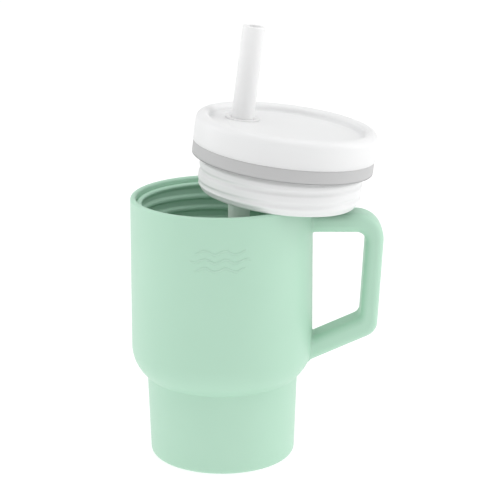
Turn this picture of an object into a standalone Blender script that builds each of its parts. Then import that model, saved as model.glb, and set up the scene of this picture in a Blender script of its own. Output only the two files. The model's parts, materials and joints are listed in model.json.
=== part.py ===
"""Double-wall straw tumbler with one handle, its screw lid lifted off and leaning on the rim.

Metres, +Z up. The origin is the centre of the foot. The handle is on the +X side.
The lid has its own frame, lid_frame, whose origin is the centre of the skirt's lower edge.
"""

import math

import bmesh
import bpy

MM = 0.001

# Mug: outer shell and handle, one moulding
HEIGHT = 114.7 * MM
RIM_R = 38.7 * MM
BODY_R = 39.0 * MM
WALL = 2.2 * MM
SHOULDER_TOP_Z = 49.3 * MM
SHOULDER_FOOT_Z = 36.0 * MM
WAIST_R = 32.5 * MM
BASE_R = 31.3 * MM
BASE_FILLET = 2.4 * MM
FLOOR = 3.0 * MM

HANDLE_WIDTH = 15.0 * MM
HANDLE_TOP_Z = HEIGHT - 6.5 * MM
HANDLE_ARM = 8.4 * MM
HANDLE_GRIP = 7.6 * MM
HANDLE_REACH = 69.4 * MM
HANDLE_LEAN = 0.055
HANDLE_FOOT_Z = 43.2 * MM
HANDLE_FOOT_SLOPE = 0.445
HANDLE_FOOT_ARM = 10.0 * MM
HANDLE_TOP_BEND = 11.5 * MM
HANDLE_LOW_BEND = 7.0 * MM
HANDLE_INNER_BEND = 4.0 * MM
HANDLE_EDGE = 3.0 * MM

# Mug: inner liner with the female thread
LINER_TOP_DROP = 2.4 * MM
LINER_BORE_R = 33.8 * MM
LINER_WALL = 1.0 * MM
CUP_WALL = 1.6 * MM
CUP_BORE_R = 32.2 * MM
CUP_LOW_R = 25.9 * MM
CUP_BOTTOM_Z = 6.2 * MM
CUP_FILLET = 6.0 * MM
THREAD_PITCH = 5.2 * MM
THREAD_FLANK = 1.0 * MM
THREAD_LAND = 0.55 * MM
MUG_THREAD_Z = HEIGHT - 7.9 * MM
MUG_THREAD_COUNT = 3

# Lid
LID_THREAD_R = 34.6 * MM
LID_ROOT_R = 33.5 * MM
LID_SKIRT_WALL = 2.6 * MM
SKIRT_FILLET = 2.0 * MM
LID_THREAD_H = 3.4 * MM
LID_THREAD_COUNT = 2
LID_R = 38.6 * MM
LID_DRAFT = 0.1 * MM
LID_HEIGHT = 32.8 * MM
LID_FLANGE_H = 20.9 * MM
LID_ROUNDING = 3.2 * MM
LID_RECESS_R = 33.0 * MM
LID_RECESS = 3.4 * MM
LID_DECK = 2.2 * MM
LID_HOLLOW_R = 33.4 * MM

SEAL_R = 38.4 * MM
SEAL_SIDE = 5.1 * MM
SEAL_CHAMFER = 0.5 * MM
SEAL_LIP_R = 37.9 * MM

# Straw
STRAW_R = 4.8 * MM
STRAW_BORE_R = 2.8 * MM
STRAW_ROOM = 5.3 * MM
STRAW_BEARING = math.radians(154.4)
STRAW_OFFSET = LID_ROOT_R - LID_SKIRT_WALL - STRAW_R - STRAW_ROOM
STRAW_X = STRAW_OFFSET * math.cos(STRAW_BEARING)
STRAW_Y = STRAW_OFFSET * math.sin(STRAW_BEARING)
STRAW_TOP_H = 69.2 * MM
STRAW_JOINT_H = 17.2 * MM
TUBE_R = 4.7 * MM
TUBE_LENGTH = 106.0 * MM
TUBE_NECK_WALL = 0.8 * MM
TUBE_NECK = 3.0 * MM
TUBE_SWING = math.radians(10.1)
TUBE_PLAY = 0.1 * MM
GROMMET_WALL = 1.4 * MM
GROMMET_FLANGE = 0.9 * MM
GROMMET_FLANGE_T = 1.4 * MM
GROMMET_TOP_T = 0.6 * MM

# Rest pose of the lid, which leans where its skirt crosses the rim, and the clearance of pieces that touch
LID_X = 23.8 * MM
LID_TILT = math.radians(7.1)
LEAN_X = (RIM_R ** 2 - LID_ROOT_R ** 2 + LID_X ** 2) / (2 * LID_X)
LEAN_GAP = 0.15 * MM
LID_Z = HEIGHT + LEAN_GAP + (LEAN_X - LID_X) * math.tan(LID_TILT)
GAP = 0.3 * MM

ROUND_STEPS = 64
SMALL_STEPS = 24

MINT = (0.50, 0.74, 0.60)
FROST = (0.86, 0.87, 0.87)
GREY = (0.52, 0.53, 0.53)
SILICONE = (0.84, 0.86, 0.86)


def clear_scene():
    for obj in list(bpy.data.objects):
        bpy.data.objects.remove(obj, do_unlink=True)


def collection(name, helper=False):
    made = bpy.data.collections.new(name)
    bpy.context.scene.collection.children.link(made)
    made.hide_render = helper
    return made


def material(name, colour, roughness, metallic=0.0):
    made = bpy.data.materials.new(name)
    made.use_nodes = True
    shader = made.node_tree.nodes["Principled BSDF"]
    shader.inputs["Base Color"].default_value = (*colour, 1.0)
    shader.inputs["Roughness"].default_value = roughness
    shader.inputs["Metallic"].default_value = metallic
    return made


def empty(name, group, location, tilt=0.0, parent=None):
    made = bpy.data.objects.new(name, None)
    made.empty_display_size = 10 * MM
    made.location = location
    made.rotation_euler = (0.0, tilt, 0.0)
    made.parent = parent
    group.objects.link(made)
    return made


def add_mesh(name, bm, group, mat, parent=None):
    mesh = bpy.data.meshes.new(name)
    bm.to_mesh(mesh)
    bm.free()
    mesh.materials.append(mat)
    made = bpy.data.objects.new(name, mesh)
    made.parent = parent
    group.objects.link(made)
    return made


def make_helper(obj):
    obj.hide_render = True
    obj.display_type = "WIRE"
    return obj


def boolean(obj, other, operation):
    cut = obj.modifiers.new(operation.lower() + "_" + other.name, "BOOLEAN")
    cut.object = other
    cut.operation = operation
    cut.solver = "EXACT"


def arc(centre_r, centre_z, radius, start, end, count):
    """Points of an arc, angles in degrees from +R towards +Z."""
    points = []
    for i in range(count + 1):
        angle = math.radians(start + (end - start) * i / count)
        points.append((centre_r + radius * math.cos(angle), centre_z + radius * math.sin(angle)))
    return points


def turned(name, profile, group, mat, steps, closed=False, parent=None):
    """Turns (radius, z) points round Z. The points run down the outer side."""
    bm = bmesh.new()
    verts = [bm.verts.new((r, 0.0, z)) for r, z in profile]
    for a, b in zip(verts, verts[1:]):
        bm.edges.new((a, b))
    if closed:
        bm.edges.new((verts[-1], verts[0]))
    made = add_mesh(name, bm, group, mat, parent)
    screw = made.modifiers.new("turn", "SCREW")
    screw.angle = math.tau
    screw.steps = steps
    screw.render_steps = steps
    screw.use_merge_vertices = True
    screw.merge_threshold = 0.00001
    screw.use_smooth_shade = True
    return made


def rounded_outline(corners):
    """Replaces each (x, z, radius, segments) corner of a closed outline with an arc."""
    outline = []
    count = len(corners)
    for i, (x, z, radius, segments) in enumerate(corners):
        if radius == 0.0:
            outline.append((x, z))
            continue
        px, pz = corners[i - 1][:2]
        nx, nz = corners[(i + 1) % count][:2]
        to_prev = math.atan2(pz - z, px - x)
        to_next = math.atan2(nz - z, nx - x)
        half = math.atan2(math.sin(to_next - to_prev), math.cos(to_next - to_prev)) / 2
        reach = radius / abs(math.tan(half))
        middle = to_prev + half
        cx = x + math.cos(middle) * radius / abs(math.sin(half))
        cz = z + math.sin(middle) * radius / abs(math.sin(half))
        ax = x + math.cos(to_prev) * reach
        az = z + math.sin(to_prev) * reach
        start = math.atan2(az - cz, ax - cx)
        sweep = (math.pi - 2 * abs(half)) * (1 if half < 0 else -1)
        for k in range(segments + 1):
            angle = start + sweep * k / segments
            outline.append((cx + radius * math.cos(angle), cz + radius * math.sin(angle)))
    return outline


def ridges(first_z, count, root_r, crest_r):
    """Profile points of thread ridges, from the top one down."""
    points = []
    for i in range(count):
        z = first_z - i * THREAD_PITCH
        reach = THREAD_LAND + THREAD_FLANK
        points += [(root_r, z + reach), (crest_r, z + THREAD_LAND)]
        points += [(crest_r, z - THREAD_LAND), (root_r, z - reach)]
    return points


def shoulder(offset):
    """Points of the shoulder's arc, moved inwards by offset, from its top down."""
    rise = SHOULDER_TOP_Z - SHOULDER_FOOT_Z
    run = BODY_R - WAIST_R
    radius = (rise * rise + run * run) / (2 * run)
    sweep = math.degrees(math.asin(rise / radius))
    return arc(BODY_R - radius, SHOULDER_TOP_Z, radius - offset, 0.0, -sweep, 8)


def shell_profile():
    crest = (RIM_R - shell_inner_radius()) / 2
    lip_r = RIM_R - crest
    inner = shoulder(WALL)
    points = [(0.0, FLOOR), (BASE_R - WALL - BASE_FILLET, FLOOR)]
    points += arc(BASE_R - WALL - BASE_FILLET, FLOOR + BASE_FILLET, BASE_FILLET, -90, 0, 4)[1:]
    points += [(WAIST_R - WALL, inner[-1][1] - 1.0 * MM)]
    points += [(min(r, shell_inner_radius()), z) for r, z in inner[::-1]]
    points += [(shell_inner_radius(), HEIGHT - crest)]
    points += arc(lip_r, HEIGHT - crest, crest, 180, 0, 8)[1:]
    points += shoulder(0.0)
    points += arc(BASE_R - BASE_FILLET, BASE_FILLET, BASE_FILLET, 0, -90, 5)
    points += [(0.0, 0.0)]
    return points


def liner_outer_radius():
    return LID_THREAD_R + GAP + LINER_WALL


def shell_inner_radius():
    return liner_outer_radius() + GAP


def liner_profile():
    top = HEIGHT - LINER_TOP_DROP
    root = LID_THREAD_R + GAP
    lip = 1.0 * MM
    last = MUG_THREAD_Z - (MUG_THREAD_COUNT - 1) * THREAD_PITCH
    neck_end = last - THREAD_PITCH / 2
    step = root - CUP_BORE_R
    low_top = SHOULDER_FOOT_Z - 1.0 * MM
    bend_top = SHOULDER_TOP_Z - 1.0 * MM
    points = [(0.0, CUP_BOTTOM_Z), (CUP_LOW_R - CUP_FILLET, CUP_BOTTOM_Z)]
    points += arc(CUP_LOW_R - CUP_FILLET, CUP_BOTTOM_Z + CUP_FILLET, CUP_FILLET, -90, 0, 5)[1:]
    points += [(CUP_LOW_R + 0.6 * MM, low_top), (CUP_BORE_R, bend_top)]
    points += [(CUP_BORE_R, neck_end - step), (root, neck_end)]
    points += ridges(MUG_THREAD_Z, MUG_THREAD_COUNT, root, LINER_BORE_R)[::-1]
    points += arc(LINER_BORE_R + lip, top - lip, lip, 180, 90, 4)
    points += [(liner_outer_radius() - 0.3 * MM, top), (liner_outer_radius(), top - 0.3 * MM)]
    points += [(liner_outer_radius(), neck_end - CUP_WALL), (CUP_BORE_R + CUP_WALL, neck_end - step - CUP_WALL)]
    points += [(CUP_BORE_R + CUP_WALL, bend_top - 0.6 * MM)]
    points += [(CUP_LOW_R + 0.6 * MM + CUP_WALL, low_top - 0.6 * MM)]
    points += arc(CUP_LOW_R - CUP_FILLET, CUP_BOTTOM_Z + CUP_FILLET, CUP_FILLET + CUP_WALL, 0, -90, 5)
    points += [(0.0, CUP_BOTTOM_Z - CUP_WALL)]
    return points


def lid_profile():
    deck_top = LID_HEIGHT - LID_RECESS
    deck_low = deck_top - LID_DECK
    bore = LID_ROOT_R - LID_SKIRT_WALL
    rounding_r = LID_R - LID_DRAFT - LID_ROUNDING
    inner_lip = rounding_r - LID_RECESS_R
    seal_low = LID_FLANGE_H - GAP - SEAL_SIDE - SEAL_CHAMFER
    points = [(0.0, deck_top), (LID_RECESS_R - 1.0 * MM, deck_top)]
    points += arc(LID_RECESS_R - 1.0 * MM, deck_top + 1.0 * MM, 1.0 * MM, -90, 0, 3)[1:]
    points += arc(rounding_r, LID_HEIGHT - inner_lip, inner_lip, 180, 90, 5)
    points += arc(rounding_r, LID_HEIGHT - LID_ROUNDING, LID_ROUNDING, 90, 0, 8)[1:]
    points += [(LID_R, LID_FLANGE_H + 0.3 * MM), (LID_R - 0.3 * MM, LID_FLANGE_H)]
    points += [(LID_ROOT_R, LID_FLANGE_H), (LID_ROOT_R, seal_low)]
    highest = LID_THREAD_H + (LID_THREAD_COUNT - 1) * THREAD_PITCH
    points += ridges(highest, LID_THREAD_COUNT, LID_ROOT_R, LID_THREAD_R)
    points += arc(LID_ROOT_R - SKIRT_FILLET, SKIRT_FILLET, SKIRT_FILLET, 0, -90, 4)
    points += [(bore + 0.4 * MM, 0.0), (bore, 0.4 * MM)]
    points += [(bore, LID_FLANGE_H), (LID_HOLLOW_R, LID_FLANGE_H + LID_HOLLOW_R - bore)]
    points += arc(LID_HOLLOW_R - 1.5 * MM, deck_low - 1.5 * MM, 1.5 * MM, 0, 90, 3)
    points += [(0.0, deck_low)]
    return points


def seal_profile():
    top = LID_FLANGE_H - GAP
    inner = LID_ROOT_R + GAP
    side_low = top - SEAL_SIDE
    low = side_low - SEAL_CHAMFER
    return [
        (SEAL_R - 0.3 * MM, top),
        (SEAL_R, top - 0.3 * MM),
        (SEAL_R, side_low),
        (SEAL_LIP_R, low),
        (inner, low),
        (inner, top),
    ]


def grommet_profile():
    """Ring round the straw, in the lid's frame: a top lip, a neck in the deck and a flange below it."""
    deck_top = LID_HEIGHT - LID_RECESS
    deck_low = deck_top - LID_DECK
    bore = STRAW_R + GAP
    neck = bore + GROMMET_WALL
    wide = neck + GROMMET_FLANGE
    lip = neck + 0.8 * MM
    top = deck_top + GAP
    low = deck_low - GAP
    return [
        (bore + 0.3 * MM, top + GROMMET_TOP_T),
        (lip - 0.3 * MM, top + GROMMET_TOP_T),
        (lip, top),
        (neck, top),
        (neck, low),
        (wide, low),
        (wide, low - GROMMET_FLANGE_T),
        (bore, low - GROMMET_FLANGE_T),
        (bore, top + GROMMET_TOP_T - 0.3 * MM),
    ]


def straw_profile():
    """Soft upper straw in the straw's frame, whose Z is the height in the lid's frame."""
    edge = 0.6 * MM
    return [
        (STRAW_R - edge, STRAW_TOP_H),
        (STRAW_R, STRAW_TOP_H - edge),
        (STRAW_R, STRAW_JOINT_H + edge),
        (STRAW_R - edge, STRAW_JOINT_H),
        (STRAW_BORE_R, STRAW_JOINT_H),
        (STRAW_BORE_R, STRAW_TOP_H - edge / 2),
        (STRAW_BORE_R + edge / 2, STRAW_TOP_H),
    ]


def tube_profile():
    """Lower tube, below its joint at z = 0, with the neck that enters the upper straw."""
    edge = 0.5 * MM
    neck = STRAW_BORE_R - TUBE_NECK * math.sin(TUBE_SWING) - TUBE_PLAY
    top = -TUBE_R * math.sin(TUBE_SWING) - TUBE_PLAY
    return [
        (neck - 0.3 * MM, TUBE_NECK),
        (neck, TUBE_NECK - 0.3 * MM),
        (neck, top),
        (TUBE_R - edge, top),
        (TUBE_R, top - edge),
        (TUBE_R, -TUBE_LENGTH + edge),
        (TUBE_R - edge, -TUBE_LENGTH),
        (STRAW_BORE_R, -TUBE_LENGTH),
        (STRAW_BORE_R, top - 4 * edge),
        (neck - TUBE_NECK_WALL, top - edge),
        (neck - TUBE_NECK_WALL, TUBE_NECK),
    ]


def handle_blank(group, mat):
    """Handle outline in XZ, spread over its width and with its long edges rounded."""
    root_x = 30.0 * MM
    grip_out = HANDLE_REACH
    rise = HANDLE_FOOT_SLOPE

    def foot_z(x, lift):
        return HANDLE_FOOT_Z + lift + rise * (x - BODY_R)

    def grip_x(z, inwards):
        return grip_out - inwards + HANDLE_LEAN * (z - HANDLE_TOP_Z)

    def meet(lift, inwards):
        """Where the lower arm's edge and the grip's edge cross."""
        z = HANDLE_FOOT_Z + lift
        for _ in range(30):
            z = foot_z(grip_x(z, inwards), lift)
        return grip_x(z, inwards), z

    out_x, out_z = meet(0.0, 0.0)
    in_x, in_z = meet(HANDLE_FOOT_ARM, HANDLE_GRIP)
    top_in = HANDLE_TOP_Z - HANDLE_ARM
    corners = [
        (root_x, HANDLE_TOP_Z, 0.0, 0),
        (grip_x(HANDLE_TOP_Z, 0.0), HANDLE_TOP_Z, HANDLE_TOP_BEND, 8),
        (out_x, out_z, HANDLE_LOW_BEND, 6),
        (root_x, foot_z(root_x, 0.0), 0.0, 0),
        (root_x, foot_z(root_x, HANDLE_FOOT_ARM), 0.0, 0),
        (in_x, in_z, HANDLE_INNER_BEND, 4),
        (grip_x(top_in, HANDLE_GRIP), top_in, HANDLE_INNER_BEND, 4),
        (root_x, top_in, 0.0, 0),
    ]
    outline = rounded_outline(corners)
    bm = bmesh.new()
    front = [bm.verts.new((x, -HANDLE_WIDTH / 2, z)) for x, z in outline]
    face = bm.faces.new(front)
    grown = bmesh.ops.extrude_face_region(bm, geom=[face])
    moved = [v for v in grown["geom"] if isinstance(v, bmesh.types.BMVert)]
    bmesh.ops.translate(bm, verts=moved, vec=(0.0, HANDLE_WIDTH, 0.0))
    bmesh.ops.recalc_face_normals(bm, faces=bm.faces)
    blank = make_helper(add_mesh("handle_blank", bm, group, mat))
    bevel = blank.modifiers.new("round_edges", "BEVEL")
    bevel.width = HANDLE_EDGE
    bevel.segments = 4
    bevel.limit_method = "ANGLE"
    bevel.angle_limit = math.radians(60)
    return blank


def cylinder(name, radius, low, high, group, mat, steps, parent=None):
    profile = [(0.0, high), (radius, high), (radius, low), (0.0, low)]
    return make_helper(turned(name, profile, group, mat, steps, parent=parent))


def main():
    clear_scene()
    parts = collection("straw_tumbler")
    cutters = collection("cutters", helper=True)
    mint = material("mint_plastic", MINT, 0.42)
    frost = material("frosted_plastic", FROST, 0.35)
    grey = material("grey_silicone", GREY, 0.55)
    silicone = material("clear_silicone", SILICONE, 0.4)

    shell = turned("outer_shell", shell_profile(), parts, mint, ROUND_STEPS)
    blank = handle_blank(cutters, mint)
    hole_r = (shell_inner_radius() + RIM_R) / 2
    inside = cylinder("handle_root_cut", hole_r, 0.0, HEIGHT + 5 * MM, cutters, mint, ROUND_STEPS)
    boolean(blank, inside, "DIFFERENCE")
    boolean(shell, blank, "UNION")
    turned("inner_liner", liner_profile(), parts, mint, ROUND_STEPS)

    lid_frame = empty("lid_frame", parts, (LID_X, 0.0, LID_Z), LID_TILT)
    lid = turned("lid_body", lid_profile(), parts, frost, ROUND_STEPS, parent=lid_frame)
    turned("lid_seal", seal_profile(), parts, grey, ROUND_STEPS, closed=True, parent=lid_frame)

    straw_frame = empty("straw_frame", parts, (STRAW_X, STRAW_Y, 0.0), parent=lid_frame)
    hole = cylinder(
        "straw_hole_cut", STRAW_R + GAP + GROMMET_WALL + GAP, LID_HEIGHT - 12 * MM, LID_HEIGHT + 5 * MM,
        cutters, frost, SMALL_STEPS, straw_frame,
    )
    boolean(lid, hole, "DIFFERENCE")
    turned("straw_grommet", grommet_profile(), parts, silicone, SMALL_STEPS, closed=True, parent=straw_frame)
    turned("straw_spout", straw_profile(), parts, silicone, SMALL_STEPS, closed=True, parent=straw_frame)
    joint = empty("straw_joint", parts, (0.0, 0.0, STRAW_JOINT_H), -LID_TILT, straw_frame)
    turned("straw_tube", tube_profile(), parts, silicone, SMALL_STEPS, closed=True, parent=joint)


main()
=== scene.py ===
"""Looks of the straw tumbler: detailed meshes, materials, floor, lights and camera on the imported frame."""

import json
import math

import bmesh
import bpy
from mathutils import Matrix, Vector


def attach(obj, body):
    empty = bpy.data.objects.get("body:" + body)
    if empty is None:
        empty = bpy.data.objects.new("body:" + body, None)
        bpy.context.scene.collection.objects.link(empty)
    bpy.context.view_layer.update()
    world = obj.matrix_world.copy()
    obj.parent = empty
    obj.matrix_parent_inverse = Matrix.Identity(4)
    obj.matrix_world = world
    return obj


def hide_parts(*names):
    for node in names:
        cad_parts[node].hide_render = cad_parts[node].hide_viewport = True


MM = 0.001
STEPS = 192

# Mug
HEIGHT = 114.7
RIM_R = 38.7
BODY_R = 39.0
SHELL_INNER_R = 36.2
WALL = 2.2
SHOULDER_TOP = 49.3
SHOULDER_FOOT = 36.0
WAIST_R = 32.5
BASE_R = 31.3
BASE_FILLET = 2.4
FLOOR = 3.0
LINER_TOP = 112.3
LINER_BORE_R = 33.8
LINER_ROOT_R = 34.9
LINER_OUTER_R = 35.9
CUP_BORE_R = 32.2
CUP_LOW_R = 25.9
CUP_BOTTOM = 6.2
CUP_WALL = 1.6
PITCH = 5.2
MUG_THREAD_START = 104.3
HANDLE_WIDTH = 15.0
HANDLE_TOP = 108.2
HANDLE_ARM = 8.4
HANDLE_GRIP = 7.6
HANDLE_REACH = 69.4
HANDLE_LEAN = 0.055
HANDLE_FOOT = 43.2
HANDLE_SLOPE = 0.445
HANDLE_FOOT_ARM = 10.0
HANDLE_ROOT = 36.4
HANDLE_OUTER_BENDS = (11.5, 7.0)
HANDLE_INNER_BENDS = (4.0, 4.0)
HANDLE_EDGE = 3.4
HANDLE_BLEND = 1.0
MARK_Z = 96.6
MARK_HALF = 13.0
MARK_SPACING = 3.6

# Lid, in its own frame
LID_R = 38.6
LID_DRAFT = 0.1
LID_HEIGHT = 32.8
LID_FLANGE = 20.9
LID_ROUNDING = 3.2
LID_RECESS_R = 33.0
LID_FLOOR = 29.4
LID_UNDER = 27.2
DISC_R = 24.6
DISC_RISE = 0.25
LID_HOLLOW_R = 33.4
SKIRT_ROOT_R = 33.5
SKIRT_CREST_R = 34.6
SKIRT_BORE_R = 30.9
SKIRT_FILLET = 2.0
SEAL_R = 38.4
SEAL_TOP = 20.88
SEAL_SIDE_LOW = 15.5
SEAL_LOW = 15.0
SEAL_LIP_R = 37.9

# Straw, in the lid's frame
STRAW_R = 4.8
STRAW_OFFSET = SKIRT_BORE_R - STRAW_R - 5.3
STRAW_BEARING = math.radians(154.4)
STRAW_AT = (STRAW_OFFSET * math.cos(STRAW_BEARING), STRAW_OFFSET * math.sin(STRAW_BEARING))
STRAW_JOINT = 17.2
STRAW_TOP = 69.2
STRAW_BORE_R = 2.8
TUBE_R = 4.7
TUBE_LENGTH = 106.0
TUBE_NECK = 3.0
TUBE_SWING = math.radians(10.1)
TUBE_PLAY = 0.1
STRAW_GAP = 0.3
GROMMET_WALL = 1.4
GROMMET_R = STRAW_R + STRAW_GAP + GROMMET_WALL

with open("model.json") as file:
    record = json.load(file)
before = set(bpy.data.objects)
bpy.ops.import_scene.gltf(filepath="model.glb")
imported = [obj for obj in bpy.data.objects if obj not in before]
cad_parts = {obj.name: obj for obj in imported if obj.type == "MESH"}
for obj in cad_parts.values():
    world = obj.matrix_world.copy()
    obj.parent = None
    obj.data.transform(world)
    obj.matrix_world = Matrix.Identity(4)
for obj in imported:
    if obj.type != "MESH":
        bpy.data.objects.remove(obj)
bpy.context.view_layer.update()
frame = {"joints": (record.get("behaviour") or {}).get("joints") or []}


def joint(name):
    return next(j for j in frame["joints"] if j["name"] == name)


def lid_placement():
    """The lid's frame, worked out from the straw's axis and the place of its lower joint."""
    axis = joint("straw_slide")["axis"]
    turn = Matrix.Rotation(math.atan2(axis[0], axis[2]), 4, "Y")
    pivot = Vector(joint("straw_bend")["pos_m"])
    offset = turn @ (Vector((*STRAW_AT, STRAW_JOINT)) * MM)
    return Matrix.Translation(pivot - offset) @ turn, pivot


def arc(centre_r, centre_z, radius, start, end, count):
    points = []
    for i in range(count + 1):
        angle = math.radians(start + (end - start) * i / count)
        points.append((centre_r + radius * math.cos(angle), centre_z + radius * math.sin(angle)))
    return points


def line(a, b, count):
    """Points from a to b without a itself."""
    span = range(1, count + 1)
    return [(a[0] + (b[0] - a[0]) * i / count, a[1] + (b[1] - a[1]) * i / count) for i in span]


def lathe(name, profile, place=None, ridge=None, closed=False, steps=STEPS):
    """Turns (radius, z) points, in mm and running down the outer side. ridge gives a new radius."""
    bm = bmesh.new()
    rings = []
    for r, z in profile:
        if r < 1e-6:
            centre = bm.verts.new((0.0, 0.0, z * MM))
            rings.append([centre] * steps)
            continue
        ring = []
        for k in range(steps):
            turn = k / steps
            radius = ridge(r, z, turn) if ridge else r
            angle = math.tau * turn
            ring.append(bm.verts.new((radius * math.cos(angle) * MM, radius * math.sin(angle) * MM, z * MM)))
        rings.append(ring)
    pairs = list(zip(rings, rings[1:]))
    if closed:
        pairs.append((rings[-1], rings[0]))
    for upper, lower in pairs:
        for k in range(steps):
            n = (k + 1) % steps
            corners = []
            for vert in (upper[k], lower[k], lower[n], upper[n]):
                if vert not in corners:
                    corners.append(vert)
            if len(corners) > 2:
                bm.faces.new(corners)
    return finish_mesh(name, bm, place)


def finish_mesh(name, bm, place=None):
    mesh = bpy.data.meshes.new(name)
    for face in bm.faces:
        face.smooth = True
    bm.to_mesh(mesh)
    bm.free()
    made = bpy.data.objects.new(name, mesh)
    bpy.context.scene.collection.objects.link(made)
    if place is not None:
        made.matrix_world = place
    return made


def smooth_step(value):
    value = min(max(value, 0.0), 1.0)
    return value * value * (3 - 2 * value)


def thread(z, turn, start, low, high, land, flank, groove=0.0):
    """Height of a rounded helical ridge over its groove, fading out near both ends of its band."""
    phase = ((z - start) / PITCH - turn) % 1.0
    off = min(phase, 1.0 - phase) * PITCH
    shape = 1.0 - smooth_step((off - land) / flank)
    fade = smooth_step((z - low) / 2.0) * smooth_step((high - z) / 2.0)
    return (groove + (1.0 - groove) * shape) * fade


def shoulder(offset, count):
    rise = SHOULDER_TOP - SHOULDER_FOOT
    run = BODY_R - WAIST_R
    radius = (rise * rise + run * run) / (2 * run)
    sweep = math.degrees(math.asin(rise / radius))
    return arc(BODY_R - radius, SHOULDER_TOP, radius - offset, 0.0, -sweep, count)


def body_radius(z):
    """Outer radius of the mug's wall at a height above the waist."""
    if z >= SHOULDER_TOP:
        return BODY_R + (RIM_R - BODY_R) * (z - SHOULDER_TOP) / (HEIGHT - SHOULDER_TOP)
    rise = SHOULDER_TOP - SHOULDER_FOOT
    run = BODY_R - WAIST_R
    radius = (rise * rise + run * run) / (2 * run)
    return BODY_R - radius + math.sqrt(radius * radius - (SHOULDER_TOP - z) ** 2)


def make_shell():
    crest = (RIM_R - SHELL_INNER_R) / 2
    inner_waist = WAIST_R - WALL
    inner_base = BASE_R - WALL
    profile = [(0.0, FLOOR), (inner_base - BASE_FILLET, FLOOR)]
    profile += arc(inner_base - BASE_FILLET, FLOOR + BASE_FILLET, BASE_FILLET, -90, 0, 6)[1:]
    profile += [(inner_waist, SHOULDER_FOOT + 0.3)]
    profile += [(min(r, SHELL_INNER_R), z) for r, z in shoulder(WALL, 12)[::-1] if z > SHOULDER_FOOT + 1.5]
    profile += [(SHELL_INNER_R, HEIGHT - crest)]
    profile += arc(RIM_R - crest, HEIGHT - crest, crest, 180, 0, 20)[1:]
    profile += line(profile[-1], (BODY_R, SHOULDER_TOP), 14)
    outer = shoulder(0.0, 24)[1:-1]
    # A small fillet where the shoulder meets the waist
    profile += outer
    profile += [(WAIST_R + 0.22, SHOULDER_FOOT + 0.18), (WAIST_R + 0.04, SHOULDER_FOOT - 0.05)]
    profile += [(WAIST_R - 0.02, SHOULDER_FOOT - 0.5)]
    profile += line(profile[-1], (BASE_R, BASE_FILLET), 8)
    profile += arc(BASE_R - BASE_FILLET, BASE_FILLET, BASE_FILLET, 0, -90, 12)[1:]
    profile += [(24.0, 0.0), (0.0, 0.0)]
    return lathe("mug_shell", profile)


def corner_path(points, radii, arc_count):
    """A polyline with its inner corners rounded, grouped as straight, arc, straight, and so on."""
    groups = []
    start = Vector(points[0])
    for i in range(1, len(points) - 1):
        corner = Vector(points[i])
        back = (Vector(points[i - 1]) - corner).normalized()
        ahead = (Vector(points[i + 1]) - corner).normalized()
        half = back.angle(ahead) / 2
        reach = radii[i - 1] / math.tan(half)
        enter = corner + back * reach
        leave = corner + ahead * reach
        centre = corner + (back + ahead).normalized() * radii[i - 1] / math.sin(half)
        a = enter - centre
        sweep = a.angle_signed(leave - centre)
        groups.append(("line", start, enter))
        arc_points = []
        for k in range(arc_count + 1):
            turned = a.copy()
            turned.rotate(Matrix.Rotation(-sweep * k / arc_count, 2))
            arc_points.append(centre + turned)
        groups.append(("arc", arc_points))
        start = leave
    groups.append(("line", start, Vector(points[-1])))
    return groups


def sample(groups, line_counts):
    """The same number of points on each group, so that two contours pair up."""
    counts = iter(line_counts)
    points = []
    for group in groups:
        if group[0] == "line":
            _, a, b = group
            count = next(counts)
            points += [a.lerp(b, i / count) for i in range(count)]
        else:
            points += group[1][:-1]
    points.append(groups[-1][2])
    return points


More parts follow.
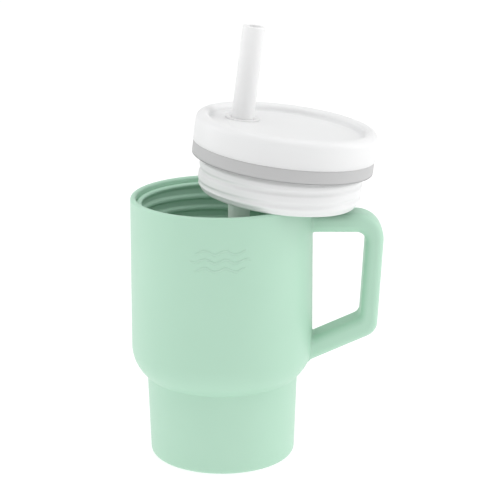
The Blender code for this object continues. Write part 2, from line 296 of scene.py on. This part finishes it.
def make_handle():
    """A closed loft round the handle, whose rounded section flares where it meets the wall."""

    def grip_x(z, inwards):
        return HANDLE_REACH - inwards + HANDLE_LEAN * (z - HANDLE_TOP)

    def meet(lift, inwards):
        run = HANDLE_REACH - inwards - HANDLE_LEAN * HANDLE_TOP - BODY_R
        z = (HANDLE_FOOT + lift + HANDLE_SLOPE * run) / (1 - HANDLE_SLOPE * HANDLE_LEAN)
        return grip_x(z, inwards), z

    low = HANDLE_FOOT + HANDLE_SLOPE * (HANDLE_ROOT - BODY_R)
    under = HANDLE_TOP - HANDLE_ARM
    outer = [(HANDLE_ROOT, HANDLE_TOP), (grip_x(HANDLE_TOP, 0), HANDLE_TOP), meet(0, 0), (HANDLE_ROOT, low)]
    inner = [(HANDLE_ROOT, under), (grip_x(under, HANDLE_GRIP), under), meet(HANDLE_FOOT_ARM, HANDLE_GRIP)]
    inner += [(HANDLE_ROOT, low + HANDLE_FOOT_ARM)]
    outer_points = sample(corner_path(outer, HANDLE_OUTER_BENDS, 16), (26, 14, 26))
    inner_points = sample(corner_path(inner, HANDLE_INNER_BENDS, 16), (26, 14, 26))
    bm = bmesh.new()
    rings = []
    around = 12
    for out, inn in zip(outer_points, inner_points):
        half_t = (out - inn).length / 2
        across = (out - inn).normalized()
        middle = (out + inn) / 2
        half_w = HANDLE_WIDTH / 2
        edge = min(HANDLE_EDGE, half_t - 0.2)
        ring = []
        for quadrant in range(4):
            sx = 1 if quadrant in (0, 3) else -1
            sy = 1 if quadrant in (0, 1) else -1
            for k in range(around):
                angle = math.radians(90 * quadrant + 90 * k / (around - 1))
                u = sx * (half_t - edge) + edge * math.cos(angle)
                v = sy * (half_w - edge) + edge * math.sin(angle)
                normal = Vector((math.cos(angle), math.sin(angle)))
                x, z = middle + across * u
                y = v
                gap = math.hypot(x, y) - body_radius(z)
                if gap < HANDLE_BLEND:
                    inside = min(HANDLE_BLEND - gap, HANDLE_BLEND)
                    flare = HANDLE_BLEND - math.sqrt(HANDLE_BLEND ** 2 - inside ** 2)
                    x, z = middle + across * (u + normal.x * flare)
                    y = v + normal.y * flare
                ring.append(bm.verts.new((x * MM, y * MM, z * MM)))
        rings.append(ring)
    size = len(rings[0])
    for a, b in zip(rings, rings[1:]):
        for k in range(size):
            n = (k + 1) % size
            bm.faces.new((a[k], a[n], b[n], b[k]))
    bm.faces.new(rings[0][::-1])
    bm.faces.new(rings[-1])
    bmesh.ops.recalc_face_normals(bm, faces=bm.faces)
    return finish_mesh("mug_handle", bm)


def make_liner():
    root = LINER_ROOT_R
    band_low, band_high = 92.2, 110.6
    step = root - CUP_BORE_R
    neck_end = 93.8
    profile = [(0.0, CUP_BOTTOM), (CUP_LOW_R - 6.0, CUP_BOTTOM)]
    profile += arc(CUP_LOW_R - 6.0, CUP_BOTTOM + 6.0, 6.0, -90, 0, 10)[1:]
    profile += line(profile[-1], (CUP_LOW_R + 0.6, 35.0), 4)
    profile += [(CUP_LOW_R + 1.1, 36.1), (CUP_BORE_R - 0.5, 47.1), (CUP_BORE_R, 48.3)]
    profile += line(profile[-1], (CUP_BORE_R, neck_end - step - 0.6), 4)
    profile += [(CUP_BORE_R + 0.2, neck_end - step), (root - 0.2, neck_end - 0.5), (root, neck_end)]
    profile += line(profile[-1], (root, LINER_TOP - 2.6), 56)
    profile += [(root - 0.25, LINER_TOP - 2.1), (LINER_BORE_R + 0.25, LINER_TOP - 1.7)]
    profile += arc(LINER_BORE_R + 1.0, LINER_TOP - 1.0, 1.0, 180, 90, 8)
    profile += [(LINER_OUTER_R - 0.25, LINER_TOP), (LINER_OUTER_R, LINER_TOP - 0.25)]
    profile += [(LINER_OUTER_R, neck_end - CUP_WALL), (CUP_BORE_R + CUP_WALL, neck_end - step - CUP_WALL)]
    profile += [(CUP_BORE_R + CUP_WALL, 47.7), (CUP_LOW_R + 0.6 + CUP_WALL, 34.4)]
    profile += arc(CUP_LOW_R - 6.0, CUP_BOTTOM + 6.0, 6.0 + CUP_WALL, 0, -90, 8)
    profile += [(0.0, CUP_BOTTOM - CUP_WALL)]

    def ridge(r, z, turn):
        if abs(r - root) > 1e-6 or z > LINER_TOP - 2.0:
            return r
        return r - (root - LINER_BORE_R) * thread(z, turn, MUG_THREAD_START, band_low, band_high, 0.45, 1.05)

    return lathe("mug_liner", profile, ridge=ridge)


def make_wave_mark():
    """Three low wavy beads, one above the other, moulded on the front of the wall."""
    bm = bmesh.new()
    steps, around = 90, 10
    for row in (-1, 0, 1):
        reach = MARK_HALF - 2.0 * abs(row)
        rings = []
        for i in range(steps + 1):
            x = -reach + 2 * reach * i / steps
            taper = math.sqrt(max(1.0 - (x / reach) ** 6, 0.0))
            z = MARK_Z + row * MARK_SPACING + 0.75 * math.sin(x * math.tau / 8.6)
            ring = []
            for k in range(around):
                angle = math.tau * k / around
                across = 0.55 * max(taper, 0.05) * math.cos(angle)
                proud = 0.16 * max(taper, 0.05) * math.sin(angle)
                radius = body_radius(z + across) + proud
                turn = x / BODY_R - math.pi / 2
                point = Vector((radius * math.cos(turn), radius * math.sin(turn), z + across))
                ring.append(bm.verts.new(point * MM))
            rings.append(ring)
        for a, b in zip(rings, rings[1:]):
            for k in range(around):
                n = (k + 1) % around
                bm.faces.new((a[k], b[k], b[n], a[n]))
        bm.faces.new(rings[0])
        bm.faces.new(rings[-1][::-1])
    bmesh.ops.recalc_face_normals(bm, faces=bm.faces)
    return finish_mesh("wave_mark", bm)


def make_lid(place):
    rounding_r = LID_R - LID_DRAFT - LID_ROUNDING
    inner_lip = rounding_r - LID_RECESS_R
    disc_top = LID_FLOOR + DISC_RISE
    profile = [(0.0, disc_top)] + line((0.0, disc_top), (DISC_R, disc_top), 12)
    profile += arc(DISC_R, disc_top - 0.2, 0.2, 90, 30, 3)
    profile += line((DISC_R + 0.8, LID_FLOOR), (LID_RECESS_R - 1.4, LID_FLOOR), 4)
    profile += arc(LID_RECESS_R - 1.0, LID_FLOOR + 1.0, 1.0, -90, 0, 8)[1:]
    profile += arc(rounding_r, LID_HEIGHT - inner_lip, inner_lip, 180, 90, 10)
    profile += arc(rounding_r, LID_HEIGHT - LID_ROUNDING, LID_ROUNDING, 90, 0, 18)[1:]
    profile += line(profile[-1], (LID_R, LID_FLANGE + 0.2), 5)
    profile += arc(LID_R - 0.2, LID_FLANGE + 0.2, 0.2, 0, -90, 5)[1:]
    profile += [(SKIRT_ROOT_R + 0.3, LID_FLANGE), (SKIRT_ROOT_R, LID_FLANGE - 0.3)]
    profile += line(profile[-1], (SKIRT_ROOT_R, SKIRT_FILLET), 60)
    profile += arc(SKIRT_ROOT_R - SKIRT_FILLET, SKIRT_FILLET, SKIRT_FILLET, 0, -90, 10)[1:]
    profile += [(SKIRT_BORE_R + 0.4, 0.0), (SKIRT_BORE_R + 0.1, 0.1), (SKIRT_BORE_R, 0.4)]
    profile += line(profile[-1], (SKIRT_BORE_R, LID_FLANGE), 4)
    profile += [(LID_HOLLOW_R, LID_FLANGE + LID_HOLLOW_R - SKIRT_BORE_R)]
    profile += arc(LID_HOLLOW_R - 1.5, LID_UNDER - 1.5, 1.5, 0, 90, 6)
    profile += [(0.0, LID_UNDER)]

    def ridge(r, z, turn):
        if abs(r - SKIRT_ROOT_R) > 1e-6:
            return r
        return r + (SKIRT_CREST_R - SKIRT_ROOT_R) * thread(z, turn, 3.4, 1.2, 14.6, 1.3, 0.9, 0.58)

    lid = lathe("lid_shell", profile, place, ridge=ridge)
    radius = GROMMET_R + 0.1
    cut = lathe("straw_hole_cut", [(0.0, 40.0), (radius, 40.0), (radius, 21.0), (0.0, 21.0)],
                place @ Matrix.Translation(Vector((*STRAW_AT, 0.0)) * MM), steps=64)
    bore = lid.modifiers.new("straw_hole", "BOOLEAN")
    bore.object = cut
    bore.operation = "DIFFERENCE"
    bore.solver = "EXACT"
    bpy.context.view_layer.update()
    graph = bpy.context.evaluated_depsgraph_get()
    mesh = bpy.data.meshes.new_from_object(lid.evaluated_get(graph))
    lid.modifiers.clear()
    mesh.set_sharp_from_angle(angle=math.radians(40))
    lid.data = mesh
    bpy.data.objects.remove(cut, do_unlink=True)
    return lid


def make_seal(place):
    inner = SKIRT_ROOT_R + 0.3
    profile = [(SEAL_R - 0.15, SEAL_TOP), (SEAL_R - 0.04, SEAL_TOP - 0.04), (SEAL_R, SEAL_TOP - 0.15)]
    profile += line(profile[-1], (SEAL_R, SEAL_SIDE_LOW + 0.5), 6)
    profile += [(SEAL_R - 0.12, SEAL_SIDE_LOW + 0.12), (SEAL_R - 0.5, SEAL_SIDE_LOW - 0.25)]
    profile += line(profile[-1], (SEAL_LIP_R + 0.45, SEAL_LOW + 0.38), 5)
    profile += [(SEAL_LIP_R + 0.15, SEAL_LOW + 0.12), (SEAL_LIP_R - 0.3, SEAL_LOW)]
    profile += [(inner, SEAL_LOW), (inner, SEAL_TOP)]
    return lathe("lid_seal_ring", profile, place, closed=True)


def make_grommet(place):
    bore = STRAW_R + 0.12
    neck = GROMMET_R
    lip = neck + 0.8
    wide = neck + 0.9
    top, low = LID_FLOOR + 0.26, LID_UNDER - 0.3
    profile = [(bore + 0.3, top + 0.4)]
    profile += arc(lip - 0.4, top, 0.4, 90, 0, 6)
    profile += [(neck, top), (neck, low), (wide - 0.3, low)]
    profile += arc(wide - 0.4, low - 1.0, 0.4, 0, -90, 4)
    profile += [(bore, low - 1.4), (bore, top + 0.15), (bore + 0.1, top + 0.33)]
    return lathe("straw_seal", profile, place, closed=True, steps=72)


def make_spout(place):
    profile = arc(STRAW_R - 0.6, STRAW_TOP - 0.6, 0.6, 90, 0, 6)
    profile += line(profile[-1], (STRAW_R, STRAW_JOINT + 0.6), 10)
    profile += [(STRAW_R - 0.6, STRAW_JOINT), (STRAW_BORE_R, STRAW_JOINT)]
    profile += line(profile[-1], (STRAW_BORE_R, STRAW_TOP - 0.4), 10)
    profile += [(STRAW_BORE_R + 0.1, STRAW_TOP - 0.12), (STRAW_BORE_R + 0.4, STRAW_TOP)]
    return lathe("spout", profile, place, closed=True, steps=72)


def make_tube(place):
    neck = STRAW_BORE_R - TUBE_NECK * math.sin(TUBE_SWING) - TUBE_PLAY
    top = -TUBE_R * math.sin(TUBE_SWING) - TUBE_PLAY
    profile = [(neck - 0.3, TUBE_NECK), (neck, TUBE_NECK - 0.3), (neck, top)]
    profile += [(TUBE_R - 0.5, top), (TUBE_R, top - 0.5)]
    profile += line(profile[-1], (TUBE_R, -TUBE_LENGTH + 0.5), 12)
    profile += arc(TUBE_R - 0.5, -TUBE_LENGTH + 0.5, 0.5, 0, -90, 5)[1:]
    profile += [(STRAW_BORE_R, -TUBE_LENGTH)]
    profile += line(profile[-1], (STRAW_BORE_R, top - 2.0), 10)
    profile += [(neck - 0.8, top - 0.5), (neck - 0.8, TUBE_NECK)]
    return lathe("lower_tube", profile, place, closed=True, steps=72)


# Materials

def nodes_of(name):
    made = bpy.data.materials.new(name)
    made.use_nodes = True
    tree = made.node_tree
    return made, tree, tree.nodes["Principled BSDF"]


def noise(tree, coords, scale, detail, roughness=0.5):
    made = tree.nodes.new("ShaderNodeTexNoise")
    made.inputs["Scale"].default_value = scale
    made.inputs["Detail"].default_value = detail
    made.inputs["Roughness"].default_value = roughness
    tree.links.new(coords, made.inputs["Vector"])
    return made.outputs["Fac"]


def ramp(tree, factor, low, high, low_colour, high_colour):
    made = tree.nodes.new("ShaderNodeValToRGB")
    made.color_ramp.elements[0].position = low
    made.color_ramp.elements[1].position = high
    made.color_ramp.elements[0].color = (*low_colour, 1.0)
    made.color_ramp.elements[1].color = (*high_colour, 1.0)
    tree.links.new(factor, made.inputs["Fac"])
    return made.outputs["Color"]


def spread(tree, factor, low, high):
    """Maps a factor from 0 to 1 onto low to high."""
    made = tree.nodes.new("ShaderNodeMapRange")
    made.inputs["To Min"].default_value = low
    made.inputs["To Max"].default_value = high
    tree.links.new(factor, made.inputs["Value"])
    return made.outputs["Result"]


def bump(tree, height, distance, strength, normal=None):
    made = tree.nodes.new("ShaderNodeBump")
    made.inputs["Distance"].default_value = distance
    made.inputs["Strength"].default_value = strength
    tree.links.new(height, made.inputs["Height"])
    if normal is not None:
        tree.links.new(normal, made.inputs["Normal"])
    return made.outputs["Normal"]


def object_coords(tree):
    return tree.nodes.new("ShaderNodeTexCoord").outputs["Object"]


def plastic(name, dark, light, rough, grain, subsurface, radius):
    """Moulded plastic or silicone: slow colour drift, uneven gloss, faint flow waves and fine grain."""
    made, tree, shader = nodes_of(name)
    coords = object_coords(tree)
    drift = noise(tree, coords, 22.0, 3.0)
    tree.links.new(ramp(tree, drift, 0.3, 0.7, dark, light), shader.inputs["Base Color"])
    patch = noise(tree, coords, 140.0, 4.0)
    tree.links.new(spread(tree, patch, rough[0], rough[1]), shader.inputs["Roughness"])
    waves = bump(tree, drift, 0.0006, 0.05)
    fine = bump(tree, noise(tree, coords, grain, 2.0), 0.00002, 0.35, waves)
    tree.links.new(fine, shader.inputs["Normal"])
    shader.inputs["Subsurface Weight"].default_value = subsurface
    shader.inputs["Subsurface Radius"].default_value = radius
    shader.inputs["Subsurface Scale"].default_value = 1.0
    shader.inputs["IOR"].default_value = 1.49
    return made


def silicone(name, tint, rough, through, painted_glow=0.0):
    """Frosted clear silicone that scatters light. Glow is painted light: a faint mint emission that stands
    in for light coming through the lid.
    """
    made, tree, shader = nodes_of(name)
    coords = object_coords(tree)
    haze = noise(tree, coords, 60.0, 3.0)
    duller = tuple(v * 0.97 for v in tint)
    tree.links.new(ramp(tree, haze, 0.3, 0.7, duller, tint), shader.inputs["Base Color"])
    patch = noise(tree, coords, 260.0, 3.0)
    tree.links.new(spread(tree, patch, rough[0], rough[1]), shader.inputs["Roughness"])
    tree.links.new(bump(tree, noise(tree, coords, 1500.0, 2.0), 0.00002, 0.3), shader.inputs["Normal"])
    shader.inputs["Transmission Weight"].default_value = through
    shader.inputs["IOR"].default_value = 1.35
    shader.inputs["Subsurface Weight"].default_value = 0.3
    shader.inputs["Subsurface Radius"].default_value = (0.003, 0.003, 0.003)
    shader.inputs["Subsurface Scale"].default_value = 1.0
    # Painted light: a mint-tinted emission, used only when glow is above zero
    shader.inputs["Emission Color"].default_value = (0.80, 1.0, 0.84, 1.0)
    shader.inputs["Emission Strength"].default_value = painted_glow
    return made


def dress(obj, mat, body, slot_name, *nodes):
    """Gives a piece its material and its body, and hides the nodes that it stands in for."""
    obj.data.materials.clear()
    obj.data.materials.append(mat)
    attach(obj, body)
    if nodes:
        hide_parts(*nodes)
    return obj


def build_object():
    lid_place, pivot = lid_placement()
    straw_place = lid_place @ Matrix.Translation(Vector((*STRAW_AT, 0.0)) * MM)
    mint_dark, mint_light = (0.468, 0.716, 0.564), (0.486, 0.734, 0.582)
    mint = plastic("mint_plastic", mint_dark, mint_light, (0.40, 0.47), 2600.0, 0.10,
                   (0.0018, 0.0022, 0.0018))
    inside = plastic("mint_plastic_inside", mint_dark, mint_light, (0.36, 0.42), 2600.0, 0.06,
                     (0.0018, 0.0022, 0.0018))
    frost = plastic("frosted_lid", (0.822, 0.825, 0.827), (0.842, 0.845, 0.847), (0.34, 0.42), 2200.0, 0.35,
                    (0.004, 0.004, 0.004))
    grey = plastic("grey_silicone", (0.520, 0.520, 0.522), (0.545, 0.545, 0.547), (0.48, 0.58), 1800.0, 0.05,
                   (0.001, 0.001, 0.001))
    clear = silicone("clear_silicone", (0.975, 0.976, 0.976), (0.32, 0.42), 0.10)
    # Painted light: the lower tube's copy of the clear silicone, its base tinted mint for light bounced off
    # the mint interior, with a faint glow for light through the lid
    painted_light_tube_silicone = silicone("tube_silicone_painted_light", (0.890, 0.925, 0.902), (0.34, 0.44), 0.03, 0.06)
    shell = make_shell()
    handle = make_handle()
    dress(shell, mint, "mug", "mint_plastic", "outer_shell")
    dress(handle, mint, "mug", "mint_plastic")
    dress(make_wave_mark(), mint, "mug", "mint_plastic")
    dress(make_liner(), inside, "mug", "mint_plastic", "inner_liner")
    dress(make_lid(lid_place), frost, "lid", "frosted_plastic", "lid_body")
    dress(make_seal(lid_place), grey, "lid", "grey_silicone", "lid_seal")
    dress(make_grommet(straw_place), clear, "lid", "clear_silicone", "straw_grommet")
    dress(make_spout(straw_place), clear, "straw", "clear_silicone", "straw_spout")
    dress(make_tube(Matrix.Translation(pivot)), painted_light_tube_silicone, "straw_lower", "clear_silicone", "straw_tube")


# Stage

def make_floor():
    bm = bmesh.new()
    bmesh.ops.create_grid(bm, x_segments=1, y_segments=1, size=7.0)
    floor = finish_mesh("floor", bm)
    made, tree, shader = nodes_of("floor_white")
    coords = object_coords(tree)
    tint = ramp(tree, noise(tree, coords, 3.0, 2.0), 0.3, 0.7, (0.335, 0.335, 0.335), (0.345, 0.345, 0.345))
    tree.links.new(tint, shader.inputs["Base Color"])
    shader.inputs["Roughness"].default_value = 0.9
    shader.inputs["Specular IOR Level"].default_value = 0.1
    shader.inputs["Emission Color"].default_value = (1.0, 1.0, 1.0, 1.0)
    shader.inputs["Emission Strength"].default_value = 0.78
    floor.data.materials.append(made)


def area_light(name, location, target, size, power):
    data = bpy.data.lights.new(name, "AREA")
    data.shape = "RECTANGLE"
    data.size, data.size_y = size
    data.energy = power
    lamp = bpy.data.objects.new(name, data)
    lamp.location = location
    lamp.rotation_euler = (Vector(target) - Vector(location)).to_track_quat("-Z", "Y").to_euler()
    bpy.context.scene.collection.objects.link(lamp)


def make_lights():
    world = bpy.data.worlds.new("studio")
    world.use_nodes = True
    back = world.node_tree.nodes["Background"]
    back.inputs["Color"].default_value = (1.0, 1.0, 1.0, 1.0)
    back.inputs["Strength"].default_value = 0.70
    bpy.context.scene.world = world
    middle = (0.01, 0.0, 0.09)
    area_light("left_strip", (-0.9, 0.25, 0.35), middle, (0.4, 1.2), 2.0)
    area_light("right_strip", (0.9, 0.15, 0.35), middle, (0.4, 1.2), 3.4)
    area_light("top_box", (0.0, -0.15, 1.0), middle, (0.9, 0.9), 2.4)


def make_camera():
    """View from a little above the front, through a long lens, aimed at the object's middle."""
    elevation = math.radians(15.87)
    distance = 0.760
    aim = Vector((0.012034, 0.0, 0.090585))
    data = bpy.data.cameras.new("camera")
    data.sensor_width = 36.0
    data.lens = 128.08
    data.clip_start = 0.05
    data.clip_end = 50.0
    camera = bpy.data.objects.new("camera", data)
    camera.location = aim + Vector((0.0, -distance * math.cos(elevation), distance * math.sin(elevation)))
    camera.rotation_euler = (math.pi / 2 - elevation, 0.0, 0.0)
    bpy.context.scene.collection.objects.link(camera)
    bpy.context.scene.camera = camera


build_object()
make_floor()
make_lights()
make_camera()
bpy.context.scene.view_settings.view_transform = "Standard"
